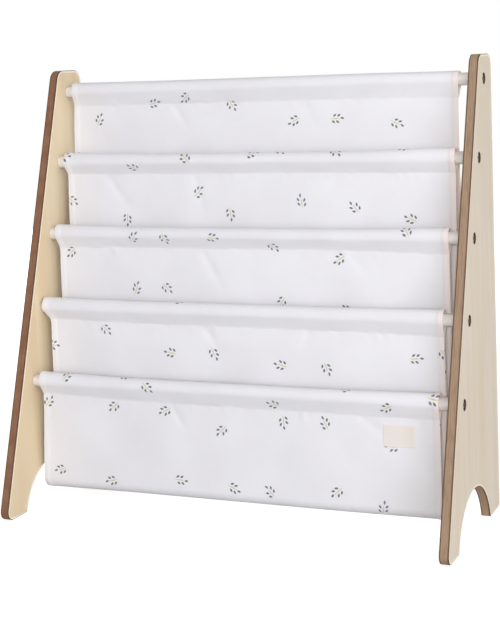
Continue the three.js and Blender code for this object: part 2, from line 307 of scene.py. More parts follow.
def srgb(red, green, blue):
    """A colour given as 0 to 255 for the screen, as the linear values that shaders take."""
    shares = [value / 255 for value in (red, green, blue)]
    return (*[s / 12.92 if s <= 0.04045 else ((s + 0.055) / 1.055) ** 2.4 for s in shares], 1)


# Colours
BIRCH_OUTSIDE = srgb(232, 220, 205)
# The panels' inner faces: birch with painted warm bounce light
BIRCH_INSIDE_PAINTED_BOUNCE = srgb(235, 219, 189)
BIRCH_STREAK = srgb(214, 194, 158)
BIRCH_HEART = srgb(224, 195, 150)
BIRCH_CLOUD = srgb(236, 222, 200)
# A painted highlight beside the cut edges
BIRCH_PAINTED_HIGHLIGHT = srgb(255, 240, 218)
BIRCH_KNOT = srgb(176, 150, 112)
LASER_RIGHT = srgb(162, 136, 113)
LASER_LEFT = srgb(138, 94, 70)
LASER_PALE = srgb(186, 152, 124)
LASER_BURNT = srgb(88, 66, 47)
# Scorched, and darkened further with painted shade of the hole's recess
BORE_BURNT_AND_PAINTED_SHADE = srgb(52, 42, 32)
DOWEL_WHITE = srgb(229, 225, 222)
DOWEL_STREAK = srgb(206, 199, 196)
BOLT_STEEL = srgb(158, 154, 146)
INSERT_STEEL = srgb(190, 188, 176)
STEEL_WORN = srgb(168, 164, 156)
CANVAS_WHITE = srgb(231, 230, 235)
# Painted warm bounce light from the right panel, lighter and warmer than the canvas
CANVAS_SHADE = srgb(225, 223, 227)
CANVAS_PAINTED_BOUNCE = srgb(251, 233, 228)
LEAF_SLATE = srgb(80, 84, 98)
LEAF_BLUE = srgb(94, 93, 124)
STEM_GREEN = srgb(190, 196, 116)
LABEL_CREAM = srgb(227, 222, 217)
LABEL_SLUB = srgb(228, 220, 204)
THREAD_WHITE = srgb(240, 239, 242)
FLOOR_GREY = srgb(180, 180, 180)
WHITE = (1, 1, 1, 1)


# Selecting and shaping

def pick(piece):
    """Makes one object the only selected and the active one."""
    bpy.ops.object.select_all(action="DESELECT")
    piece.select_set(True)
    bpy.context.view_layer.objects.active = piece


def settle(piece):
    """Puts a piece's place, turn and size into its mesh, so that the object sits at the origin."""
    pick(piece)
    bpy.ops.object.transform_apply(location=True, rotation=True, scale=True)


def select(piece, kind, test):
    """In edit mode, selects only the faces or the edges that pass a test."""
    bpy.context.tool_settings.mesh_select_mode = (False, kind == "edges", kind == "faces")
    bpy.ops.mesh.select_all(action="DESELECT")
    cage = bmesh.from_edit_mesh(piece.data)
    for element in getattr(cage, kind):
        if test(element):
            element.select_set(True)
    bmesh.update_edit_mesh(piece.data)


def apply_modifier(piece, kind, **settings):
    modifier = piece.modifiers.new(kind.lower(), kind)
    for key, value in settings.items():
        setattr(modifier, key, value)
    pick(piece)
    bpy.ops.object.modifier_apply(modifier=modifier.name)


def cut(piece, cutter):
    """Cuts a piece by another object, which is then thrown away."""
    apply_modifier(piece, "BOOLEAN", operation="DIFFERENCE", solver="EXACT", object=cutter)
    bpy.data.objects.remove(cutter, do_unlink=True)


def smooth(piece, sharp_from=SHARP_FROM):
    """Shades a piece smooth, but for the edges that turn by more than some degrees."""
    pick(piece)
    bpy.ops.object.shade_smooth_by_angle(angle=math.radians(sharp_from))


def round_edges(piece, width, steps, is_there):
    """In edit mode, rounds the edges whose ends lie at places that pass a test."""
    select(piece, "edges", lambda edge: all(is_there(vert.co) for vert in edge.verts))
    bpy.ops.mesh.bevel(offset=width, segments=steps, profile=ROUND_PROFILE, affect="EDGES")


def rod(name, radius, from_x, to_x, y, z, steps):
    """A cylinder along X."""
    bpy.ops.object.select_all(action="DESELECT")
    bpy.ops.mesh.primitive_cylinder_add(
        vertices=steps, radius=radius, depth=to_x - from_x,
        location=((from_x + to_x) / 2, y, z), rotation=(0, math.pi / 2, 0),
    )
    piece = bpy.context.object
    piece.name = name
    settle(piece)
    return piece


def mesh_piece(name, verts, faces):
    """A new object with a mesh of its own."""
    mesh = bpy.data.meshes.new(name)
    mesh.from_pydata(verts, [], faces)
    piece = bpy.data.objects.new(name, mesh)
    bpy.context.collection.objects.link(piece)
    return piece


def copy_of(piece, name, matrix):
    """A copy with its own mesh, moved by a matrix that acts on the mesh."""
    twin = piece.copy()
    twin.data = piece.data.copy()
    twin.data.transform(matrix)
    twin.name = name
    bpy.context.collection.objects.link(twin)
    return twin


def face_out(piece):
    """Merges doubles and turns every face outwards."""
    pick(piece)
    bpy.ops.object.mode_set(mode="EDIT")
    bpy.ops.mesh.select_all(action="SELECT")
    bpy.ops.mesh.remove_doubles(threshold=DOUBLES)
    bpy.ops.mesh.normals_make_consistent(inside=False)
    bpy.ops.object.mode_set(mode="OBJECT")


def finish_piece(piece, slot, *nodes):
    """Fixes a piece to the body, in place of the CAD nodes that it dresses. Its slot is not used."""
    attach(piece, ROOT)
    if nodes:
        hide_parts(*nodes)


# Shader nodes

class Nodes:
    """Adds and joins the nodes of one material or node group."""

    def __init__(self, tree):
        self.tree = tree

    def add(self, kind, inputs=None, **settings):
        node = self.tree.nodes.new("ShaderNode" + kind)
        for key, value in settings.items():
            setattr(node, key, value)
        for key, value in (inputs or {}).items():
            self.set(node.inputs[key], value)
        return node

    def set(self, socket, value):
        """Joins a socket to another one, or gives it a value."""
        if isinstance(value, bpy.types.NodeSocket):
            self.tree.links.new(value, socket)
        else:
            socket.default_value = value

    def math(self, operation, *values):
        return self.add("Math", dict(enumerate(values)), operation=operation).outputs[0]

    def vector(self, operation, *values):
        return self.add("VectorMath", dict(enumerate(values)), operation=operation).outputs[0]

    def scaled(self, vector, scale):
        return self.add("VectorMath", {0: vector, "Scale": scale}, operation="SCALE").outputs[0]

    def turned(self, vector, angle):
        """Turns a vector about Z."""
        inputs = {"Vector": vector, "Angle": angle}
        return self.add("VectorRotate", inputs, rotation_type="Z_AXIS").outputs[0]

    def split(self, vector):
        return self.add("SeparateXYZ", {0: vector}).outputs

    def mix(self, share, first, second):
        return self.add("Mix", {0: share, 6: first, 7: second}, data_type="RGBA").outputs[2]

    def tint(self, colour, towards, mask, share):
        """Turns a colour towards another one where a mask is high, by a share at most."""
        return self.mix(self.math("MULTIPLY", mask, share), colour, towards)

    def ramp(self, value, low=0.0, high=1.0, to_low=0.0, to_high=1.0):
        """Runs smoothly from to_low, at low, to to_high, at high."""
        inputs = {"Value": value, "From Min": low, "From Max": high, "To Min": to_low, "To Max": to_high}
        return self.add("MapRange", inputs, interpolation_type="SMOOTHSTEP").outputs["Result"]

    def noise(self, vector, scale, detail=2.0, roughness=0.5, distortion=0.0):
        inputs = {"Vector": vector, "Scale": scale, "Detail": detail, "Roughness": roughness,
                  "Distortion": distortion}
        return self.add("TexNoise", inputs).outputs[0]

    def bump(self, height, strength, distance):
        inputs = {"Strength": strength, "Distance": distance, "Height": height}
        return self.add("Bump", inputs).outputs[0]

    def object_place(self):
        return self.add("TexCoord").outputs["Object"]

    def cloth_place(self):
        return self.add("TexCoord").outputs["UV"]

    def use(self, group, **inputs):
        """Places a node group. Its inputs' names have _ for each space."""
        node = self.add("Group", node_tree=group)
        for key, value in inputs.items():
            self.set(node.inputs[key.replace("_", " ")], value)
        return node.outputs


def new_group(name, inputs, outputs):
    """A node group with named inputs and outputs, its nodes helper and its two end nodes."""
    tree = bpy.data.node_groups.new(name, "ShaderNodeTree")
    for label, kind in inputs.items():
        tree.interface.new_socket(label, in_out="INPUT", socket_type="NodeSocket" + kind)
    for label, kind in outputs.items():
        tree.interface.new_socket(label, in_out="OUTPUT", socket_type="NodeSocket" + kind)
    start = tree.nodes.new("NodeGroupInput")
    end = tree.nodes.new("NodeGroupOutput")
    return tree, Nodes(tree), start.outputs, end.inputs


def new_material(name):
    """A material with its nodes helper and its Principled BSDF."""
    material = bpy.data.materials.new(name)
    material.use_nodes = True
    tree = material.node_tree
    return material, Nodes(tree), tree.nodes["Principled BSDF"]


def set_shader(nodes, shader, **inputs):
    for key, value in inputs.items():
        nodes.set(shader.inputs[key.replace("_", " ")], value)


def make_grain_group():
    """Wood grain that runs along Z: broad streaks, fine fibres and their height."""
    tree, nodes, start, end = new_group(
        "wood grain",
        {"Place": "Vector", "Streaks per metre": "Float", "Stretch": "Float"},
        {"Streaks": "Float", "Fibres": "Float", "Height": "Float"},
    )
    squeeze = nodes.add("CombineXYZ", {"X": 1.0, "Y": 1.0, "Z": nodes.math("DIVIDE", 1.0, start["Stretch"])})
    place = nodes.vector("MULTIPLY", start["Place"], squeeze.outputs[0])
    broad = nodes.noise(place, start["Streaks per metre"], detail=3.0, roughness=0.55, distortion=0.6)
    fibres_per_metre = nodes.math("MULTIPLY", start["Streaks per metre"], FIBRES_PER_STREAK)
    fine = nodes.noise(place, fibres_per_metre, detail=3.0, roughness=0.6)
    streak_height = nodes.math("MULTIPLY", broad, STREAK_HEIGHT)
    fibre_height = nodes.math("MULTIPLY", fine, FIBRE_HEIGHT)
    nodes.set(end["Streaks"], nodes.ramp(broad, low=0.35, high=0.68))
    nodes.set(end["Fibres"], nodes.ramp(fine, low=0.3, high=0.7))
    nodes.set(end["Height"], nodes.math("ADD", streak_height, fibre_height))
    return tree


def make_mottle_group():
    """Soft cloudy patches, from 0 to 1."""
    tree, nodes, start, end = new_group(
        "mottle", {"Place": "Vector", "Patches per metre": "Float"}, {"Shade": "Float"})
    cloud = nodes.noise(start["Place"], start["Patches per metre"], detail=3.0, roughness=0.55)
    nodes.set(end["Shade"], nodes.ramp(cloud, low=0.3, high=0.7))
    return tree


def make_weave_group():
    """Plain weave: threads that cross over and under each other, with slubs."""
    tree, nodes, start, end = new_group(
        "plain weave",
        {"Place": "Vector", "Threads per metre": "Float"},
        {"Height": "Float", "Slubs": "Float"},
    )
    place = nodes.split(start["Place"])
    half_turns = nodes.math("MULTIPLY", start["Threads per metre"], math.pi)
    across = nodes.math("SINE", nodes.math("MULTIPLY", place[0], half_turns))
    along = nodes.math("SINE", nodes.math("MULTIPLY", place[1], half_turns))
    crossing = nodes.math("MULTIPLY_ADD", nodes.math("MULTIPLY", across, along), 0.5, 0.5)
    stretched = nodes.vector("MULTIPLY", start["Place"], (SLUB_SQUEEZE, 1.0, 1.0))
    slubs = nodes.noise(stretched, nodes.math("MULTIPLY", start["Threads per metre"], SLUBS_PER_THREAD))
    nodes.set(end["Height"], nodes.math("MULTIPLY_ADD", slubs, SLUB_HEIGHT, crossing))
    nodes.set(end["Slubs"], nodes.ramp(slubs, low=0.35, high=0.65))
    return tree


def make_leaf_group():
    """A pointed leaf: its mask on a flat place, given its middle, turn, length and width."""
    tree, nodes, start, end = new_group(
        "leaf",
        {"Place": "Vector", "Middle": "Vector", "Turn": "Float", "Length": "Float", "Width": "Float"},
        {"Mask": "Float"},
    )
    moved = nodes.vector("SUBTRACT", start["Place"], start["Middle"])
    place = nodes.split(nodes.turned(moved, start["Turn"]))
    along = nodes.math("DIVIDE", nodes.math("MULTIPLY", place[0], 2.0), start["Length"])
    across = nodes.math("DIVIDE", nodes.math("MULTIPLY", place[1], 2.0), start["Width"])
    reach = nodes.math("ADD", nodes.math("MULTIPLY", along, along), nodes.math("ABSOLUTE", across))
    nodes.set(end["Mask"], nodes.ramp(reach, low=LEAF_RIM_OUTSIDE, high=LEAF_RIM_INSIDE))
    return tree


def make_sprig_group(leaf):
    """A scatter of small sprigs: a stem with pairs of leaves and one at its tip, each turned its own way."""
    tree, nodes, start, end = new_group(
        "sprig scatter",
        {"Place": "Vector", "Spacing": "Float"},
        {"Leaves": "Float", "Stem": "Float", "Tone": "Float"},
    )
    flat = nodes.vector("MULTIPLY", start["Place"], (1.0, 1.0, 0.0))
    cells = nodes.scaled(flat, nodes.math("DIVIDE", 1.0, start["Spacing"]))
    voronoi = nodes.add("TexVoronoi", {"Vector": cells, "Scale": 1.0, "Randomness": SPRIG_SCATTER},
                        voronoi_dimensions="2D").outputs
    local = nodes.scaled(nodes.vector("SUBTRACT", cells, voronoi["Position"]), start["Spacing"])
    chance = nodes.split(voronoi["Color"])
    place = nodes.turned(local, nodes.math("MULTIPLY", chance[0], 2 * math.pi))
    leaves = 0.0
    pairs = [((along + side * LEAF_STAGGER, side * LEAF_REACH, 0.0), -side * LEAF_TURN)
             for along in LEAF_PAIRS for side in (1, -1)]
    for middle, turn in [(TIP_LEAF_PLACE, TIP_LEAF_TURN)] + pairs:
        mask = nodes.use(leaf, Place=place, Middle=middle, Turn=turn, Length=LEAF_LENGTH, Width=LEAF_WIDTH)
        leaves = nodes.math("MAXIMUM", leaves, mask["Mask"])
    stem = nodes.use(leaf, Place=place, Middle=STEM_PLACE, Turn=0.0, Length=STEM_LENGTH, Width=STEM_WIDTH)
    nodes.set(end["Leaves"], leaves)
    nodes.set(end["Stem"], stem["Mask"])
    nodes.set(end["Tone"], chance[1])
    return tree


grain_group = make_grain_group()
mottle_group = make_mottle_group()
weave_group = make_weave_group()
sprig_group = make_sprig_group(make_leaf_group())


# Places taken from the frame

panel_low, panel_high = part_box("side_panel_right")
PANEL_INNER_X, PANEL_OUTER_X = panel_low[0], panel_high[0]
PANEL_MIDDLE_X = (PANEL_INNER_X + PANEL_OUTER_X) / 2
PANEL_THICKNESS = PANEL_OUTER_X - PANEL_INNER_X
PANEL_HEIGHT = panel_high[2]
PLY_PITCH = PANEL_THICKNESS / PLIES
BACK_Y = panel_high[1]
FRONT_CORNER_Y = BACK_Y - FOOT_DEPTH
FRONT_LEAN = math.atan2(FOOT_DEPTH - TOP_DEPTH, PANEL_HEIGHT)
dowel_boxes = [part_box(f"dowel_{number}") for number in DOWELS]
AXES = [((low[1] + high[1]) / 2, (low[2] + high[2]) / 2) for low, high in dowel_boxes]
DOWEL_END_X = dowel_boxes[0][1][0]
DOWEL_RADIUS = (dowel_boxes[0][1][2] - dowel_boxes[0][0][2]) / 2
BEND_Z = [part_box(f"pocket_{number}")[0][2] + CANVAS / 2 for number in POCKETS]


# Materials

def birch_material():
    """Pale birch veneer with upright grain and a few small knots. Its inner faces are warmer, with painted
    warm bounce light.
    """
    material, nodes, shader = new_material("birch")
    place = nodes.object_place()
    from_middle = nodes.math("ABSOLUTE", nodes.split(place)[0])
    is_outside = nodes.math("GREATER_THAN", from_middle, PANEL_MIDDLE_X)
    grain = nodes.use(grain_group, Place=place, **BIRCH_GRAIN)
    heart = nodes.use(grain_group, Place=place, **HEART_GRAIN)["Streaks"]
    heart_share = nodes.math("SUBTRACT", HEART_SHARE, nodes.math("MULTIPLY", is_outside, HEART_LESS_OUTSIDE))
    patches = nodes.use(mottle_group, Place=place, Patches_per_metre=9.0)["Shade"]
    stretched = nodes.vector("MULTIPLY", place, (1.0, 1.0, KNOT_SQUEEZE))
    spots = nodes.add("TexVoronoi", {"Vector": stretched, "Scale": KNOTS_PER_METRE, "Randomness": 1.0})
    knots = nodes.ramp(spots.outputs["Distance"], low=0.05, high=0.02, to_high=0.55)
    # The inner faces' warmer tone is painted bounce light
    colour = nodes.mix(is_outside, BIRCH_INSIDE_PAINTED_BOUNCE, BIRCH_OUTSIDE)
    colour = nodes.tint(colour, BIRCH_STREAK, grain["Streaks"], share=0.32)
    colour = nodes.tint(colour, BIRCH_HEART, heart, share=heart_share)
    colour = nodes.tint(colour, BIRCH_STREAK, grain["Fibres"], share=0.1)
    colour = nodes.tint(colour, BIRCH_CLOUD, patches, share=0.12)
    colour = nodes.mix(knots, colour, BIRCH_KNOT)
    set_shader(nodes, shader, Base_Color=colour,
               Roughness=nodes.ramp(grain["Fibres"], to_low=0.5, to_high=0.62),
               Normal=nodes.bump(grain["Height"], strength=0.25, distance=BIRCH_RELIEF))
    return material


def painted_highlight_material():
    """The narrow band beside a cut edge, painted paler as a highlight."""
    material, nodes, shader = new_material("painted highlight rim")
    grain = nodes.use(grain_group, Place=nodes.object_place(), **BIRCH_GRAIN)
    set_shader(nodes, shader, Base_Color=nodes.tint(BIRCH_PAINTED_HIGHLIGHT, BIRCH_OUTSIDE, grain["Streaks"], share=0.25),
               Roughness=nodes.ramp(grain["Fibres"], to_low=0.45, to_high=0.55))
    return material


def laser_material(name, tone):
    """The laser-cut edge: browned plies, darkest at both arrises."""
    material, nodes, shader = new_material(name)
    place = nodes.object_place()
    depth = nodes.math("SUBTRACT", nodes.math("ABSOLUTE", nodes.split(place)[0]), PANEL_MIDDLE_X)
    plies = nodes.math("SINE", nodes.math("MULTIPLY", depth, 2 * math.pi / PLY_PITCH))
    patches = nodes.use(mottle_group, Place=place, Patches_per_metre=55.0)["Shade"]
    streaks = nodes.noise(nodes.vector("MULTIPLY", place, LASER_STREAKS_SQUEEZE), scale=160.0, detail=3.0)
    burn = nodes.ramp(nodes.math("ABSOLUTE", depth), low=BURN_STARTS, high=BURN_FULL, to_high=0.9)
    colour = nodes.mix(nodes.ramp(plies, low=-0.4, high=0.9, to_high=0.22), tone, LASER_BURNT)
    colour = nodes.tint(colour, LASER_PALE, patches, share=0.2)
    colour = nodes.mix(nodes.ramp(streaks, low=0.42, high=0.7, to_high=0.3), colour, LASER_BURNT)
    colour = nodes.mix(burn, colour, LASER_BURNT)
    set_shader(nodes, shader, Base_Color=colour, Specular_IOR_Level=0.25,
               Roughness=nodes.ramp(streaks, low=0.3, high=0.7, to_low=0.62, to_high=0.78),
               Normal=nodes.bump(streaks, strength=0.35, distance=LASER_RELIEF))
    return material


def bore_material():
    """The walls of the bolt holes: scorched, and darkened further with painted shade of the recess."""
    material, nodes, shader = new_material("scorched bore with painted shade")
    soot = nodes.use(mottle_group, Place=nodes.object_place(), Patches_per_metre=420.0)["Shade"]
    set_shader(nodes, shader, Base_Color=nodes.tint(BORE_BURNT_AND_PAINTED_SHADE, LASER_BURNT, soot, share=0.35),
               Roughness=nodes.ramp(soot, to_low=0.7, to_high=0.85), Specular_IOR_Level=0.15)
    return material


def dowel_material():
    """Whitish, sanded round wood with its grain along X."""
    material, nodes, shader = new_material("dowel wood")
    quarter_turn = {"Vector": nodes.object_place(), "Rotation": (0, math.pi / 2, 0)}
    grain = nodes.use(grain_group, Place=nodes.add("Mapping", quarter_turn).outputs[0], **DOWEL_GRAIN)
    set_shader(nodes, shader, Base_Color=nodes.tint(DOWEL_WHITE, DOWEL_STREAK, grain["Streaks"], share=0.55),
               Roughness=nodes.ramp(grain["Fibres"], to_low=0.38, to_high=0.5),
               Normal=nodes.bump(grain["Height"], strength=0.2, distance=DOWEL_RELIEF))
    return material


def steel_material(name, tone, roughness_range):
    """Plated steel, with faint wear in its gloss."""
    material, nodes, shader = new_material(name)
    wear = nodes.use(mottle_group, Place=nodes.object_place(), Patches_per_metre=700.0)["Shade"]
    glossiest, dullest = roughness_range
    set_shader(nodes, shader, Base_Color=nodes.tint(tone, STEEL_WORN, wear, share=0.25), Metallic=1.0,
               Roughness=nodes.ramp(wear, to_low=glossiest, to_high=dullest))
    return material


def canvas_material():
    """White cotton canvas with a scatter of small leaf sprigs, and painted warm bounce light beside the right
    panel.
    """
    material, nodes, shader = new_material("printed canvas")
    place = nodes.cloth_place()
    weave = nodes.use(weave_group, Place=place, Threads_per_metre=1500.0)
    patches = nodes.use(mottle_group, Place=place, Patches_per_metre=14.0)["Shade"]
    # Painted warm bounce light near the right panel
    painted_bounce = nodes.ramp(nodes.split(nodes.object_place())[0], low=PAINTED_BOUNCE_STARTS_X, high=PAINTED_BOUNCE_FULL_X)
    sprigs = nodes.use(sprig_group, Place=place, Spacing=SPRIG_SPACING)
    leaf = nodes.mix(nodes.ramp(sprigs["Tone"], low=0.35, high=0.65), LEAF_SLATE, LEAF_BLUE)
    ink = nodes.ramp(nodes.noise(place, scale=900.0), low=0.2, high=0.6, to_low=0.72, to_high=0.95)
    colour = nodes.tint(CANVAS_WHITE, CANVAS_SHADE, patches, share=0.6)
    colour = nodes.tint(colour, CANVAS_SHADE, weave["Slubs"], share=0.15)
    colour = nodes.mix(painted_bounce, colour, CANVAS_PAINTED_BOUNCE)
    colour = nodes.tint(colour, STEM_GREEN, sprigs["Stem"], share=0.8)
    colour = nodes.tint(colour, leaf, sprigs["Leaves"], share=ink)
    set_shader(nodes, shader, Base_Color=colour, Sheen_Weight=0.08, Sheen_Roughness=0.5,
               Roughness=nodes.ramp(weave["Slubs"], to_low=0.85, to_high=0.95),
               Normal=nodes.bump(weave["Height"], strength=0.22, distance=CANVAS_RELIEF))
    return material


def label_material():
    """Cream woven patch."""
    material, nodes, shader = new_material("label twill")
    weave = nodes.use(weave_group, Place=nodes.cloth_place(), Threads_per_metre=2400.0)
    set_shader(nodes, shader, Base_Color=nodes.tint(LABEL_CREAM, LABEL_SLUB, weave["Slubs"], share=0.35),
               Roughness=nodes.ramp(weave["Slubs"], to_low=0.75, to_high=0.85),
               Normal=nodes.bump(weave["Height"], strength=0.25, distance=LABEL_RELIEF))
    return material


def thread_material():
    """White sewing thread."""
    material, nodes, shader = new_material("sewing thread")
    twist = nodes.noise(nodes.object_place(), scale=2600.0)
    set_shader(nodes, shader, Base_Color=nodes.tint(THREAD_WHITE, CANVAS_SHADE, twist, share=0.4),
               Roughness=nodes.ramp(twist, low=0.3, high=0.7, to_low=0.6, to_high=0.7),
               Normal=nodes.bump(twist, strength=0.3, distance=THREAD_RELIEF))
    return material


birch = birch_material()
laser_right = laser_material("laser-cut edge, right panel", LASER_RIGHT)
laser_left = laser_material("laser-cut edge, left panel", LASER_LEFT)
painted_highlight_rim = painted_highlight_material()
bore_scorch_and_painted_shade = bore_material()
dowel_wood = dowel_material()
bolt_steel = steel_material("bolt steel", BOLT_STEEL, roughness_range=(0.26, 0.4))
insert_steel = steel_material("insert steel", INSERT_STEEL, roughness_range=(0.32, 0.46))
printed_canvas = canvas_material()
label_twill = label_material()
sewing_thread = thread_material()


# Side panels. Their material slots, before a fourth one for the walls of the bolt holes

FACE, EDGE, RIM = range(3)


def sawn_blank():
    """The right panel's outline: a plywood blank sawn along its slanted front, with rounded corners."""
    bpy.ops.object.select_all(action="DESELECT")
    bpy.ops.mesh.primitive_cube_add(
        size=1, location=(PANEL_MIDDLE_X, BACK_Y - FOOT_DEPTH / 2, PANEL_HEIGHT / 2))
    panel = bpy.context.object
    panel.name = "panel_right"
    panel.scale = (PANEL_THICKNESS, FOOT_DEPTH, PANEL_HEIGHT)
    settle(panel)
    bpy.ops.object.mode_set(mode="EDIT")
    bpy.ops.mesh.select_all(action="SELECT")
    bpy.ops.mesh.bisect(
        plane_co=(0, FRONT_CORNER_Y, 0), plane_no=(0, -math.cos(FRONT_LEAN), math.sin(FRONT_LEAN)),
        use_fill=True, clear_outer=True,
    )
    top_front = (BACK_Y - TOP_DEPTH, PANEL_HEIGHT, TOP_RADIUS, math.pi / 2 + FRONT_LEAN)
    top_back = (BACK_Y, PANEL_HEIGHT, TOP_RADIUS, math.pi / 2)
    foot_front = (FRONT_CORNER_Y, 0, FRONT_FOOT_RADIUS, math.pi / 2 - FRONT_LEAN)
    foot_back = (BACK_Y, 0, BACK_FOOT_RADIUS, math.pi / 2)
    for y, z, radius, corner_angle in (top_front, top_back, foot_front, foot_back):
        corner = Vector((y, z))
        round_edges(panel, radius / math.tan(corner_angle / 2), CORNER_STEPS,
                    lambda place: (place.yz - corner).length < NEAR)
    bpy.ops.object.mode_set(mode="OBJECT")
    return panel


def bore(panel, diameter, depth, y, z):
    """Bores a hole from the panel's outer face, with scorched walls darkened further by painted shade."""
    cutter = rod("bolt_hole_cutter", diameter / 2, PANEL_OUTER_X - depth, PANEL_OUTER_X + CUT_OVERRUN, y, z,
                 HOLE_STEPS)
    cutter.data.materials.append(bore_scorch_and_painted_shade)
    cut(panel, cutter)


def side_panel():
    """The right panel, with its arch, its bolt holes, a painted highlight rim beside its cut edges, and broken
    edges.
    """
    panel = sawn_blank()
    radius = ((ARCH_WIDTH / 2) ** 2 + ARCH_RISE ** 2) / (2 * ARCH_RISE)
    cut(panel, rod("arch_cutter", radius, PANEL_INNER_X - CUT_OVERRUN, PANEL_OUTER_X + CUT_OVERRUN,
                   BACK_Y - FOOT_DEPTH / 2, ARCH_RISE - radius, ARCH_STEPS))
    for material in (birch, laser_right, painted_highlight_rim, bore_scorch_and_painted_shade):
        panel.data.materials.append(material)
    pick(panel)
    bpy.ops.object.mode_set(mode="EDIT")
    panel.active_material_index = EDGE
    bpy.ops.mesh.select_all(action="SELECT")
    bpy.ops.object.material_slot_assign()
    # A band of each face beside the cut edges keeps the painted highlight rim
    select(panel, "faces", lambda face: abs(face.normal.x) > SQUARE_TO_X)
    panel.active_material_index = RIM
    bpy.ops.object.material_slot_assign()
    bpy.ops.mesh.inset(thickness=PAINTED_HIGHLIGHT_WIDTH, use_even_offset=True)
    panel.active_material_index = FACE
    bpy.ops.object.material_slot_assign()
    bpy.ops.object.mode_set(mode="OBJECT")
    for y, z in AXES:
        bore(panel, COUNTERBORE_DIAMETER, COUNTERBORE_DEPTH, y, z)
        bore(panel, BOLT_HOLE_DIAMETER, PANEL_THICKNESS + CUT_OVERRUN, y, z)
    apply_modifier(panel, "BEVEL", width=ARRIS, segments=ARRIS_STEPS, limit_method="ANGLE",
                   angle_limit=math.radians(ARRIS_FROM), material=EDGE, use_clamp_overlap=False)
    face_out(panel)
    smooth(panel, PANEL_SHARP_FROM)
    return panel


right_panel = side_panel()
left_panel = copy_of(right_panel, "panel_left", Matrix.Scale(-1, 4, (1, 0, 0)))
face_out(left_panel)
left_panel.data.materials[EDGE] = laser_left
finish_piece(right_panel, "birch_plywood", "side_panel_right")
finish_piece(left_panel, "birch_plywood", "side_panel_left")


# Dowels

def extrude_along_x(distance):
    """In edit mode, pulls the selected faces along X."""
    bpy.ops.mesh.extrude_region_move(TRANSFORM_OT_translate={"value": (distance, 0, 0)})


def round_dowel():
    """A dowel at the origin, with chamfered ends that are bored for an insert and a bolt."""
    piece = rod("round_dowel", DOWEL_RADIUS, -DOWEL_END_X, DOWEL_END_X, 0, 0, DOWEL_STEPS)
    bpy.ops.object.mode_set(mode="EDIT")
    round_edges(piece, DOWEL_CHAMFER, CHAMFER_STEPS, lambda place: abs(abs(place.x) - DOWEL_END_X) < NEAR)
    for end in (-1, 1):
        select(piece, "faces", lambda face: face.normal.x * end > SQUARE_TO_X)
        bpy.ops.mesh.inset(thickness=DOWEL_RADIUS - DOWEL_CHAMFER - INSERT_BORE_DIAMETER / 2)
        extrude_along_x(-end * INSERT_BORE_DEPTH)
        bpy.ops.mesh.inset(thickness=(INSERT_BORE_DIAMETER - BOLT_HOLE_DIAMETER) / 2)
        extrude_along_x(end * (INSERT_BORE_DEPTH - BOLT_BORE_DEPTH))
    bpy.ops.object.mode_set(mode="OBJECT")
    smooth(piece)
    piece.data.materials.append(dowel_wood)
    return piece


dowel_pattern = round_dowel()
for number, (y, z) in zip(DOWELS, AXES):
    dowel = copy_of(dowel_pattern, f"round_dowel_{number}", Matrix.Translation((0, y, z)))
    finish_piece(dowel, "dowel_wood", f"dowel_{number}")
bpy.data.objects.remove(dowel_pattern, do_unlink=True)


# Bolts and inserts

def socket_bolt():
    """A bolt along X with its head's face at the origin and its tip towards -X."""
    low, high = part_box("bolt_right_1")
    head_radius = (high[2] - low[2]) / 2
    shank_length = high[0] - low[0] - HEAD_HEIGHT
    piece = rod("socket_bolt", head_radius, -HEAD_HEIGHT, 0, 0, 0, BOLT_STEPS)
    bpy.ops.object.mode_set(mode="EDIT")
    select(piece, "faces", lambda face: face.normal.x < -SQUARE_TO_X)
    bpy.ops.mesh.inset(thickness=head_radius - BOLT_DIAMETER / 2)
    extrude_along_x(-shank_length)
    tip_x = -HEAD_HEIGHT - shank_length
    round_edges(piece, HEAD_EDGE, HEAD_EDGE_STEPS, lambda place: abs(place.x) < NEAR)
    round_edges(piece, BOLT_TIP_CHAMFER, 1, lambda place: abs(place.x - tip_x) < NEAR)
    bpy.ops.object.mode_set(mode="OBJECT")
    corner_radius = SOCKET_ACROSS_FLATS / 2 / math.cos(math.pi / SOCKET_SIDES)
    cut(piece, rod("socket_cutter", corner_radius, -SOCKET_DEPTH, CUT_OVERRUN, 0, 0, SOCKET_SIDES))
    face_out(piece)
    smooth(piece)
    piece.data.materials.append(bolt_steel)
    return piece


bolt_pattern = socket_bolt()
for side in SIDES:
    for number, (y, z) in zip(DOWELS, AXES):
        low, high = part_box(f"bolt_{side}_{number}")
        head_x = high[0] if side == "right" else low[0]
        turn = Matrix.Rotation(0 if side == "right" else math.pi, 4, "Z")
        bolt = copy_of(bolt_pattern, f"socket_bolt_{side}_{number}", Matrix.Translation((head_x, y, z)) @ turn)
        finish_piece(bolt, "bolt_steel", f"bolt_{side}_{number}")
        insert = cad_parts[f"insert_{side}_{number}"]
        insert.data.materials.clear()
        insert.data.materials.append(insert_steel)
bpy.data.objects.remove(bolt_pattern, do_unlink=True)


# Canvas sling: the forms that hanging gives to the cloth

def ease(values, low, high):
    """Runs smoothly from 0, at low, to 1, at high."""
    share = np.clip((values - low) / (high - low), 0, 1)
    return share * share * (3 - 2 * share)


def share_down(drop, full_drop):
    """How far down its layer the cloth is, from 0 at the seam to 1 at the pocket's bend."""
    return np.clip((drop - SEAM_DROP) / (full_drop - SEAM_DROP), 0, 1)


def fold_at(x, dowel, share):
    """The soft folds of a hanging layer."""
    turns = dowel * FOLD_PHASE_TURNS + share * FOLD_LEAN_TURNS
    broad = np.sin(2 * math.pi * (x / BROAD_FOLD + turns))
    fine = np.sin(2 * math.pi * (x / FINE_FOLD - turns))
    return FOLD_DEPTH * np.sin(math.pi * share) * (broad * (1 - FINE_FOLD_SHARE) + fine * FINE_FOLD_SHARE)


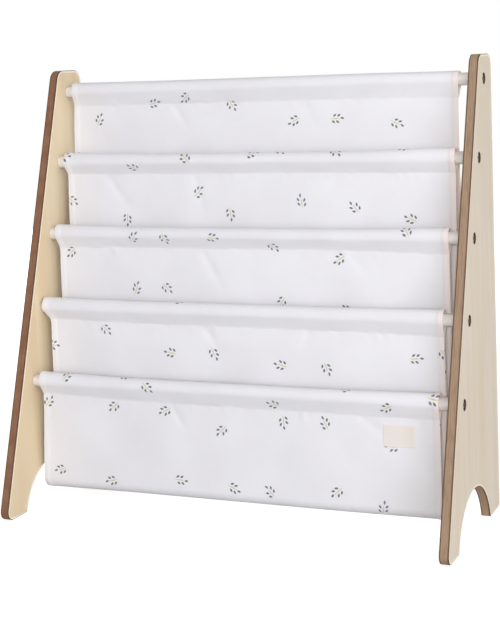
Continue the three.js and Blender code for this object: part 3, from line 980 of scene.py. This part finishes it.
def crease_at(x, drop, creases):
    """How deep a set of creases is, each a ridge that fades along its length."""
    depth = np.zeros_like(x)
    for from_x, from_drop, to_x, to_drop, height, width in creases:
        run, fall = to_x - from_x, to_drop - from_drop
        length = math.hypot(run, fall)
        along = ((x - from_x) * run + (drop - from_drop) * fall) / length ** 2
        across = ((x - from_x) * fall - (drop - from_drop) * run) / length
        fade = ease(along, *CREASE_SWELLS) * (1 - ease(along, *CREASE_FADES))
        depth += height * fade * np.exp(-(across / width) ** 2)
    return depth


def puckers_of(dowel):
    """Small puckers below a dowel's seam, each given as a short crease."""
    chance = np.random.default_rng(PUCKER_SEED + dowel)
    puckers = []
    for _ in range(PUCKER_COUNT):
        x = chance.uniform(LEFT_AT_SEAM[dowel], RIGHT_AT_SEAM[dowel])
        reach = PUCKER_REACH * chance.uniform(*PUCKER_REACHES)
        lean = reach * chance.uniform(*PUCKER_LEANS)
        height = PUCKER_DEPTH * chance.uniform(*PUCKER_DEPTHS) * chance.choice((-1, 1))
        width = PUCKER_WIDTH * chance.uniform(*PUCKER_WIDTHS)
        puckers.append((x, SEAM_DROP, x + lean, SEAM_DROP + reach, height, width))
    return puckers


def ripple_at(x, other, seed, length=RIPPLE_LENGTH):
    """Faint uneven waves."""
    values = [noise.noise(Vector((a / length, b / length, seed))) for a, b in zip(x.flat, other.flat)]
    return np.array(values).reshape(x.shape)


PUCKERS = [puckers_of(dowel) for dowel in range(len(AXES))]


def relief_at(x, drop, dowel, share):
    """All the folds, creases, puckers and waves of the layer that hangs from a dowel."""
    relief = fold_at(x, dowel, share) + crease_at(x, drop, CREASES[dowel] + PUCKERS[dowel])
    return relief + RIPPLE * ripple_at(x, drop, dowel + RIPPLE_SEED) * ease(drop, SEAM_DROP, RIPPLE_FULL_DROP)


def pinch_at(drop):
    """How far the seam draws a layer towards the one on its other side."""
    return (LAYER_HALF - SEAM_HALF) * (1 - ease(drop, SEAM_DROP, SEAM_DROP + LAYER_OPENS))


# Canvas sling: its grids of points, with a row for each step along the cloth and a column for each across it

def columns_across():
    """The columns' places as shares of the cloth's width, closer together at the hems."""
    hem = [share * HEM_WIDTH for share in HEM_COLUMN_SHARES] + [HEM_WIDTH + HEM_STEP]
    inner = CLOTH_WIDTH - 2 * hem[-1]
    count = round(inner / COLUMN_STEP)
    middle = [hem[-1] + inner * index / count for index in range(1, count)]
    return np.array(hem + middle + [CLOTH_WIDTH - distance for distance in reversed(hem)]) / CLOTH_WIDTH


COLUMNS = columns_across()


def lengths_along(line):
    """The lengths from a line's start to each of its points."""
    return np.concatenate([[0], np.cumsum(np.linalg.norm(np.diff(line, axis=0), axis=1))])


def values_along(values, lengths, wanted):
    """What a line's points have, such as their places, at the wanted lengths along the line."""
    return np.stack([np.interp(wanted, lengths, column) for column in values.T], axis=1)


def resample(path, step):
    """Points at even steps along a polyline in Y and Z, with their lengths from its start."""
    path = np.array(path)
    lengths = lengths_along(path)
    even = np.linspace(0, lengths[-1], round(lengths[-1] / step) + 1)
    return values_along(path, lengths, even), even


def arc(middle, radius, start, end, steps):
    angles = np.linspace(start, end, steps + 1)
    return [(middle[0] + radius * math.cos(angle), middle[1] + radius * math.sin(angle)) for angle in angles]


def outward(path):
    """Unit normals of a polyline in Y and Z, to the left of its run."""
    run = np.gradient(path, axis=0)
    run /= np.hypot(run[:, 0], run[:, 1])[:, None]
    return np.stack([-run[:, 1], run[:, 0]], axis=1)


def along_cloth(left, middle, right):
    """A value for every column, given at the cloth's left edge, in its middle and at its right edge."""
    near_left = 1 - ease(COLUMNS * CLOTH_WIDTH, 0, ENDS_REACH)
    near_right = 1 - ease((1 - COLUMNS) * CLOTH_WIDTH, 0, ENDS_REACH)
    return (middle + (left - middle) * near_left + (right - middle) * near_right)[None, :]


def across(dowel, drop, full_drop):
    """The X of every column, in rows that hang at some drops from a dowel."""
    curve = ease(drop, 0, EDGE_CURVE)[:, None]
    run = share_down(drop, full_drop)[:, None]
    left, right = [
        at_dowel[dowel] + (at_seam[dowel] - at_dowel[dowel]) * curve + (at_hem[dowel] - at_seam[dowel]) * run
        for at_dowel, at_seam, at_hem in (
            (LEFT_AT_DOWEL, LEFT_AT_SEAM, LEFT_AT_HEM), (RIGHT_AT_DOWEL, RIGHT_AT_SEAM, RIGHT_AT_HEM))
    ]
    return left + (right - left) * COLUMNS[None, :]


def sag_of(dowel, drop):
    """How far the cloth hangs below its even place, because the seam isn't level."""
    share = ease(drop, 0, SEAM_DROP) * (1 - ease(drop, SEAM_DROP, SEAM_DROP + SAG_FADES))
    return along_cloth(*SEAM_SAG[dowel]) * share[:, None]


def sleeve_grid(dowel):
    """From the seam in front, up over the dowel and down to the seam behind."""
    y, z = AXES[dowel]
    tip_distance = math.hypot(SEAM_HALF, SEAM_DROP)
    touch = math.atan2(-SEAM_DROP, SEAM_HALF) + math.acos(SLEEVE_RADIUS / tip_distance)
    path = [(y - SEAM_HALF, z - SEAM_DROP)]
    path += arc((y, z), SLEEVE_RADIUS, math.pi - touch, touch, SLEEVE_ARC_STEPS)
    path += [(y + SEAM_HALF, z - SEAM_DROP)]
    path, lengths = resample(path, SLEEVE_ROW_STEP)
    drop = z - path[:, 1]
    x = across(dowel, drop, SEAM_DROP + LAYER_OPENS)
    drops = np.broadcast_to(drop[:, None], x.shape)
    free = ease(drops, BULGE_STARTS, BULGE_FULL) * (1 - ease(drops, SEAM_DROP - BULGE_ENDS, SEAM_DROP))
    bulge = BULGE * ripple_at(x, drops * BULGE_STRETCH, dowel + BULGE_SEED, BULGE_LENGTH) * free
    mirrored = SEAM_DROP + (SEAM_DROP - drops) * PUCKER_ABOVE_SQUEEZE
    pucker = crease_at(x, mirrored, PUCKERS[dowel]) * PUCKER_ABOVE_SHARE
    ripple = SLEEVE_RIPPLE * ripple_at(x, drops, dowel + SLEEVE_RIPPLE_SEED, SLEEVE_RIPPLE_LENGTH)
    lift = (bulge + pucker * (drops > 0) + ripple)[..., None] * outward(path)[:, None, :]
    rise = along_cloth(*LOOP_RISE[dowel]) * ease(-drop, -RISE_STARTS, SLEEVE_RADIUS)[:, None]
    lifted = path[:, None, :] + lift
    return np.stack([x, lifted[..., 0], lifted[..., 1] + rise - sag_of(dowel, drop)], axis=-1), lengths


def pocket_grid(pocket):
    """From the seam behind its front dowel, down, round the bend and up to the seam of the next dowel."""
    (y, z), (behind_y, behind_z) = AXES[pocket], AXES[pocket + 1]
    front_y, back_y = y + LAYER_HALF, behind_y - LAYER_HALF
    radius = (back_y - front_y) / 2
    bend_z = BEND_Z[pocket] + radius
    path = [(front_y, z - SEAM_DROP)]
    path += arc((front_y + radius, bend_z), radius, math.pi, 2 * math.pi, BEND_ARC_STEPS)
    path += [(back_y, behind_z - SEAM_DROP)]
    path, lengths = resample(path, POCKET_ROW_STEP)
    on_front = path[:, 0] < front_y + radius
    to_back = ease(path[:, 0], front_y, back_y)[:, None]
    front_drop, back_drop = z - path[:, 1], behind_z - path[:, 1]
    x = across(pocket, front_drop, z - bend_z) * (1 - to_back)
    x += across(pocket + 1, back_drop, behind_z - bend_z) * to_back
    drop = np.where(on_front, front_drop, back_drop)
    share = share_down(drop, np.where(on_front, z, behind_z) - bend_z)
    drops = np.broadcast_to(drop[:, None], x.shape)
    shares = np.broadcast_to(share[:, None], x.shape)
    push = np.zeros_like(x)
    for dowel, is_here, side in ((pocket, on_front, -1), (pocket + 1, ~on_front, 1)):
        rows = is_here & (path[:, 1] >= bend_z)
        push[rows] = relief_at(x[rows], drops[rows], dowel, shares[rows]) + side * pinch_at(drops[rows])
    sag = sag_of(pocket, front_drop) * (1 - to_back) + sag_of(pocket + 1, back_drop) * to_back
    if pocket == 0:
        sag += along_cloth(*LOWEST_BEND_SAG) * share[:, None]
    return np.stack([x, path[:, 0][:, None] + push, path[:, 1][:, None] - sag], axis=-1), lengths


def normals_of(points):
    """Unit normals of a grid of points."""
    normals = np.cross(np.gradient(points, axis=1), np.gradient(points, axis=0))
    return normals / np.linalg.norm(normals, axis=-1, keepdims=True)


# Canvas sling: its pieces

def indices_of(points):
    """The number of every vertex in a grid."""
    return np.arange(points[..., 0].size).reshape(points.shape[:2])


def grid_piece(name, points, flat, corners=(0, 1, 2, 3)):
    """A surface through a grid of points. Its UV map is given in metres, as every point's place in the flat
    cloth, and the order of each face's corners tells which way it faces."""
    index = indices_of(points)
    faces = np.stack([index[:-1, :-1], index[:-1, 1:], index[1:, 1:], index[1:, :-1]], axis=-1).reshape(-1, 4)
    faces = faces[:, corners]
    piece = mesh_piece(name, points.reshape(-1, 3).tolist(), faces.tolist())
    uv_map = piece.data.uv_layers.new(name="cloth")
    uv_map.data.foreach_set("uv", flat.reshape(-1, 2)[faces.ravel()].astype(np.float32).ravel())
    return piece


def sheet_piece(name, points, lengths):
    """A sheet of canvas through a grid of points, with thicker hems at its sides. Its UV map runs along X, and
    along the cloth from the lowest sleeve."""
    piece = grid_piece(name, points, np.stack(np.meshgrid(COLUMNS * CLOTH_WIDTH, lengths), axis=-1))
    is_hem = np.minimum(COLUMNS, 1 - COLUMNS) * CLOTH_WIDTH < HEM_WIDTH + HEM_STEP / 2
    hem = piece.vertex_groups.new(name="hem")
    hem.add(indices_of(points)[:, is_hem].ravel().tolist(), 1.0, "REPLACE")
    hem.add(indices_of(points)[:, ~is_hem].ravel().tolist(), CANVAS / HEM_THICKNESS, "REPLACE")
    apply_modifier(piece, "SOLIDIFY", thickness=HEM_THICKNESS, offset=0, vertex_group="hem")
    smooth(piece, CLOTH_SHARP_FROM)
    piece.data.materials.append(printed_canvas)
    return piece


def stitch_pattern():
    """One stitch along X: a short rounded length of thread."""
    bpy.ops.object.select_all(action="DESELECT")
    bpy.ops.mesh.primitive_uv_sphere_add(
        segments=STITCH_SIDES, ring_count=STITCH_RINGS, radius=1, rotation=(0, math.pi / 2, 0))
    piece = bpy.context.object
    settle(piece)
    piece.scale = (STITCH_LENGTH / 2, THREAD / 2, THREAD / 2)
    settle(piece)
    verts = np.array([vert.co[:] for vert in piece.data.vertices])
    faces = [list(face.vertices) for face in piece.data.polygons]
    bpy.data.objects.remove(piece, do_unlink=True)
    return verts, faces


STITCH_VERTS, STITCH_FACES = stitch_pattern()


def stitches(line, normals, lift):
    """Places and directions of the stitches along a line of points, lifted off the cloth."""
    lengths = lengths_along(line)
    count = int(lengths[-1] / STITCH_PITCH)
    middles = (np.arange(count) + 0.5) * lengths[-1] / count
    place = values_along(line, lengths, middles)
    up = values_along(normals, lengths, middles)
    ahead = values_along(line, lengths, middles + STITCH_LOOKS_AHEAD) - place
    ahead /= np.linalg.norm(ahead, axis=1)[:, None]
    up -= ahead * (up * ahead).sum(axis=1)[:, None]
    up /= np.linalg.norm(up, axis=1)[:, None]
    return place + up * lift, ahead, up


def thread_piece(name, rows):
    """All the stitches of some rows, as one piece."""
    verts, faces = [], []
    for place, ahead, up in rows:
        side = np.cross(up, ahead)
        for middle, x_axis, y_axis, z_axis in zip(place, ahead, side, up):
            base = len(verts)
            turned = STITCH_VERTS @ np.stack([x_axis, y_axis, z_axis])
            verts.extend((turned + middle).tolist())
            faces.extend([[base + corner for corner in face] for face in STITCH_FACES])
    piece = mesh_piece(name, verts, faces)
    smooth(piece, CLOTH_SHARP_FROM)
    piece.data.materials.append(sewing_thread)
    finish_piece(piece, "canvas")
    return piece


HEM_COLUMNS = [int(np.argmin(np.abs(COLUMNS * CLOTH_WIDTH - distance)))
               for distance in (HEM_SEAM_INSET, CLOTH_WIDTH - HEM_SEAM_INSET)]


def make_sleeve(dowel, cloth_length):
    """A dowel's sleeve and the two rows of stitches in its seam. Returns the cloth's length after it."""
    points, lengths = sleeve_grid(dowel)
    sleeve = sheet_piece(f"cloth_sleeve_{dowel + 1}", points, lengths + cloth_length)
    finish_piece(sleeve, "canvas", f"sleeve_{dowel + 1}")
    normals = normals_of(points)
    rows = [stitches(points[row, SEAM_COLUMNS], normals[row, SEAM_COLUMNS], CANVAS / 2) for row in SEAM_ROWS]
    seam = thread_piece(f"seam_thread_{dowel + 1}", rows)
    return cloth_length + lengths[-1]


def make_pocket(dowel, cloth_length):
    """The pocket between a dowel and the next one, with both hems' stitches inside and outside. Returns the
    cloth's length after it."""
    points, lengths = pocket_grid(dowel)
    pocket = sheet_piece(f"cloth_pocket_{dowel + 1}", points, lengths + cloth_length)
    finish_piece(pocket, "canvas", f"pocket_{dowel + 1}")
    normals = normals_of(points)
    rows = [stitches(points[:, column], face * normals[:, column], HEM_THICKNESS / 2)
            for column in HEM_COLUMNS for face in (1, -1)]
    hem = thread_piece(f"hem_thread_{dowel + 1}", rows)
    return cloth_length + lengths[-1]


cloth_length = 0
for dowel in range(len(AXES)):
    cloth_length = make_sleeve(dowel, cloth_length)
    if dowel + 1 < len(AXES):
        cloth_length = make_pocket(dowel, cloth_length)


# Label patch, sewn on the front of the lowest pocket

def label_grid():
    """Points on the front of the lowest pocket, in rows that go down, and their places in the flat patch."""
    y, z = AXES[0]
    full_drop = z - BEND_Z[0] - (AXES[1][0] - y - 2 * LAYER_HALF) / 2
    columns, rows = round(LABEL_WIDTH / LABEL_STEP), round(LABEL_HEIGHT / LABEL_STEP)
    x, drops = np.meshgrid(np.linspace(LABEL_LEFT, LABEL_LEFT + LABEL_WIDTH, columns + 1),
                           np.linspace(LABEL_DROP, LABEL_DROP + LABEL_HEIGHT, rows + 1))
    relief = relief_at(x, drops, 0, share_down(drops, full_drop))
    lift = (CANVAS + LABEL_THICKNESS) / 2 + LABEL_GAP
    points = np.stack([x, y + LAYER_HALF + relief - pinch_at(drops) - lift, z - drops], axis=-1)
    return points, np.stack([x, drops], axis=-1)


def border_stitches(points):
    """Stitches along the patch's four sides, on its front."""
    inset = round(LABEL_STITCH_INSET / LABEL_STEP)
    inner = slice(inset, -inset)
    to_front = -normals_of(points)
    sides = [(inset, inner), (-inset - 1, inner), (inner, inset), (inner, -inset - 1)]
    return [stitches(points[side], to_front[side], LABEL_THICKNESS / 2) for side in sides]


def make_label():
    points, flat = label_grid()
    label = grid_piece("label_patch_cloth", points, flat, corners=(0, 3, 2, 1))
    apply_modifier(label, "SOLIDIFY", thickness=LABEL_THICKNESS, offset=0)
    apply_modifier(label, "BEVEL", width=LABEL_ARRIS, segments=ARRIS_STEPS, limit_method="ANGLE")
    smooth(label, LABEL_SHARP_FROM)
    label.data.materials.append(label_twill)
    finish_piece(label, "label_twill", "label_patch")
    label_thread = thread_piece("label_thread", border_stitches(points))


make_label()


# Floor, light and camera

def seen_directly(nodes):
    """1 where the camera, a reflection or clear material looks, and 0 for light that falls on things."""
    rays = nodes.add("LightPath").outputs
    seen = nodes.math("MAXIMUM", rays["Is Camera Ray"], rays["Is Glossy Ray"])
    return nodes.math("MAXIMUM", seen, rays["Is Transmission Ray"])


def make_floor():
    bpy.ops.object.select_all(action="DESELECT")
    bpy.ops.mesh.primitive_plane_add(size=2 * FLOOR_HALF)
    floor = bpy.context.object
    floor.name = "floor"
    material, nodes, shader = new_material("studio floor")
    distance = nodes.add("VectorMath", {0: nodes.object_place()}, operation="LENGTH").outputs["Value"]
    glow = nodes.ramp(distance, NEAR_FLOOR, FAR_FLOOR, NEAR_FLOOR_GLOW, FAR_FLOOR_GLOW)
    set_shader(nodes, shader, Base_Color=FLOOR_GREY, Roughness=FLOOR_ROUGHNESS, Specular_IOR_Level=0.0,
               Emission_Color=WHITE, Emission_Strength=nodes.math("MULTIPLY", seen_directly(nodes), glow))
    floor.data.materials.append(material)
    floor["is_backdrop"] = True


def make_world():
    world = bpy.data.worlds.new("studio")
    bpy.context.scene.world = world
    world.use_nodes = True
    nodes = Nodes(world.node_tree)
    background = world.node_tree.nodes["Background"]
    nodes.set(background.inputs["Color"], WHITE)
    nodes.set(background.inputs["Strength"], nodes.ramp(seen_directly(nodes), to_low=WORLD_LIGHT))


def make_lamp(name, power, place, size):
    light = bpy.data.lights.new(name, "AREA")
    light.energy = power
    light.size = size
    lamp = bpy.data.objects.new(name, light)
    lamp.location = place
    lamp.rotation_euler = (LAMPS_AIM - Vector(place)).to_track_quat("-Z", "Y").to_euler()
    bpy.context.collection.objects.link(lamp)


def make_camera():
    data = bpy.data.cameras.new("camera")
    data.lens = CAMERA_LENS
    data.sensor_width = CAMERA_SENSOR
    data.shift_y = CAMERA_SHIFT_Y
    camera = bpy.data.objects.new("camera", data)
    camera.matrix_world = (
        Matrix.Translation(CAMERA_PLACE)
        @ Matrix.Rotation(CAMERA_YAW, 4, "Z")
        @ Matrix.Rotation(math.pi / 2 - CAMERA_PITCH, 4, "X")
        @ Matrix.Rotation(CAMERA_ROLL, 4, "Z")
    )
    bpy.context.collection.objects.link(camera)
    bpy.context.scene.camera = camera


make_floor()
make_world()
for name, (power, place, size) in LAMPS.items():
    make_lamp(name, power, place, size)
make_camera()
bpy.context.scene.view_settings.view_transform = "Standard"

low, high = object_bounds()
